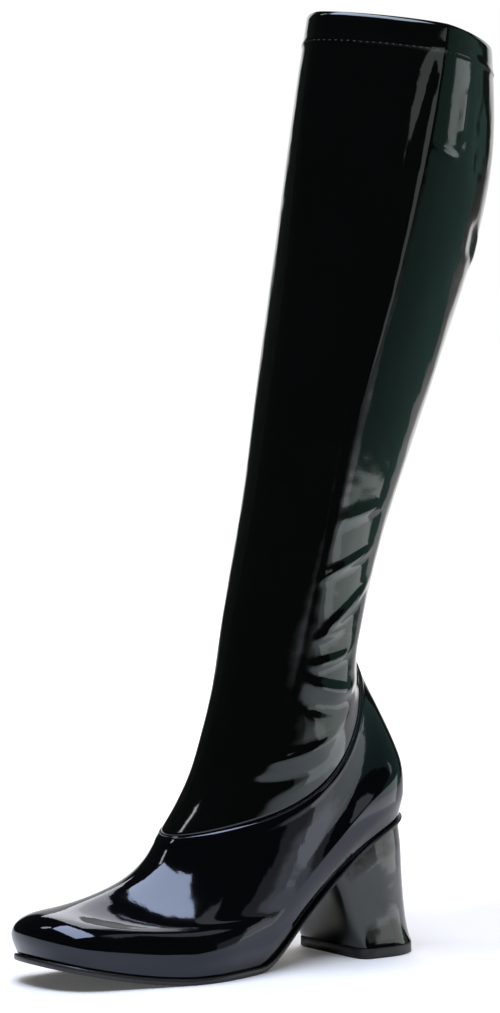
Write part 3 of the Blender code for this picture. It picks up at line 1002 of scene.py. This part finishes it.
# %% Light
SoftBox = namedtuple("SoftBox", "name centre aim size brightness colour")
SOFT_BOXES = [
    SoftBox("vamp_window", (0.26, -0.42, 1.25), (0.26, -0.41, 0), (1.16, 0.70), 9.4, (0.72, 0.78, 1)),
    SoftBox("ridge_strip", (-0.633, -0.885, 1.31), (0, -0.13, 0.05), (0.14, 0.50), 6.0, (1, 1, 1)),
    SoftBox("toe_light", (-1.25, 0.73, 2.0), (-1.25, 0.74, 0), (2.1, 0.9), 4.0, (0.98, 0.95, 1)),
    SoftBox("crease_card", (0.34, 0.027, 0.39), (0.04, -0.01, 0.39), (0.23, 0.26), 0.8, (1, 1, 1)),
    SoftBox("calf_card", (0.14, 0.51, 0.43), (0.045, 0.02, 0.43), (0.16, 0.07), 1.1, (1, 1, 1)),
    SoftBox("green_card", (0.40, 1.55, 0.55), (0.04, 0.04, 0.3), (1.3, 1.2), 0.16, (0.55, 1, 0.82)),
    SoftBox("heel_card", (0.19, 0.309, 0.08), (0.026, 0.0, 0.08), (0.36, 0.16), 1.2, (1, 1, 1)),
    SoftBox("face_card", (0.52, 0.34, 0.05), (0.026, -0.02, 0.03), (0.34, 0.16), 0.3, (1, 1, 1)),
]


def hang(box):
    """A rectangle of even light at a place, looking at another place."""
    light = bpy.data.lights.new(box.name, "AREA")
    light.shape = "RECTANGLE"
    light.size, light.size_y = box.size
    light.energy = box.brightness * light.size * light.size_y * math.pi
    light.color = box.colour
    lamp = bpy.data.objects.new(box.name, light)
    bpy.context.scene.collection.objects.link(lamp)
    lamp.location = Vector(box.centre)
    way = Vector(box.aim) - lamp.location
    lamp.rotation_euler = way.to_track_quat("-Z", "Y").to_euler()
    lamp.visible_camera = False


for box in SOFT_BOXES:
    hang(box)
bpy.context.scene.view_settings.view_transform = "Standard"
print(len(SOFT_BOXES), "soft boxes hung")

# %% [markdown]
# Down the back of the leg the photograph is a deep green-black, where white paper would be mirrored
# as grey. A studio gets this with a flag, a dark card that stands beside the boot outside the view.
# This one glows a faint green of its own and only mirroring surfaces see it, so it throws no shadow on
# the floor; the green-black down the back panel is this glow mirrored.

# %% The flag
FLAG_DISTANCE = 0.75
FLAG_AZIMUTHS = (math.radians(138), math.radians(191))
FLAG_HEIGHTS = (0.05, 0.50)
FLAG_GLOW = 0.15


def make_flag():
    bm = bmesh.new()
    bmesh.ops.create_grid(bm, x_segments=1, y_segments=1, size=1)
    for point in bm.verts:
        azimuth, up = FLAG_AZIMUTHS[point.co.x > 0], FLAG_HEIGHTS[point.co.y > 0]
        point.co = (FLAG_DISTANCE * math.sin(azimuth), -FLAG_DISTANCE * math.cos(azimuth), up)
    card, _, shader = new_finish("flag_card")
    shader.inputs["Base Color"].default_value = (0.01, 0.02, 0.016, 1)
    shader.inputs["Roughness"].default_value = 0.9
    # The card's own faint green glow, which only mirrors see: it gives the back panel its green-black
    # reflection.
    shader.inputs["Emission Color"].default_value = (0.5, 1.0, 0.84, 1)
    shader.inputs["Emission Strength"].default_value = FLAG_GLOW
    flag = set_up("flag", bm, card)
    flag.visible_camera = False
    flag.visible_diffuse = False
    flag.visible_shadow = False
    flag.visible_transmission = False


make_flag()
print("flag stands", FLAG_DISTANCE, "m away")

# %% [markdown]
# The camera stands at the photograph's angle, two metres away and low, looking a touch to the left
# of the boot's middle as the photograph does.

# %% Camera
CAMERA_ELEVATION = math.radians(3.2)
CAMERA_DISTANCE = 2.0
PIXELS_PER_METRE = 1970
FRAME_WIDE = 500
FRAME_HIGH = 1013
BOOT_MIDDLE_PIXEL = 317.3
SENSOR = 36
LOOK_DOWN = 0.001
away = Vector((0, 0, math.sin(CAMERA_ELEVATION))) - back_way * math.cos(CAMERA_ELEVATION)
middle = Vector((0, -0.03, 0.23))
lens = bpy.data.cameras.new("camera")
lens.sensor_width = SENSOR
lens.lens = PIXELS_PER_METRE * CAMERA_DISTANCE / FRAME_HIGH * SENSOR
camera = bpy.data.objects.new("camera", lens)
bpy.context.scene.collection.objects.link(camera)
camera.location = middle + away * CAMERA_DISTANCE
aside = (BOOT_MIDDLE_PIXEL - FRAME_WIDE / 2) / PIXELS_PER_METRE
look_at = middle - side_way * aside - Vector((0, 0, LOOK_DOWN))
camera.rotation_euler = (look_at - camera.location).to_track_quat("-Z", "Y").to_euler()
bpy.context.scene.camera = camera
print("camera", [round(c, 3) for c in camera.location], "lens", round(lens.lens, 1))
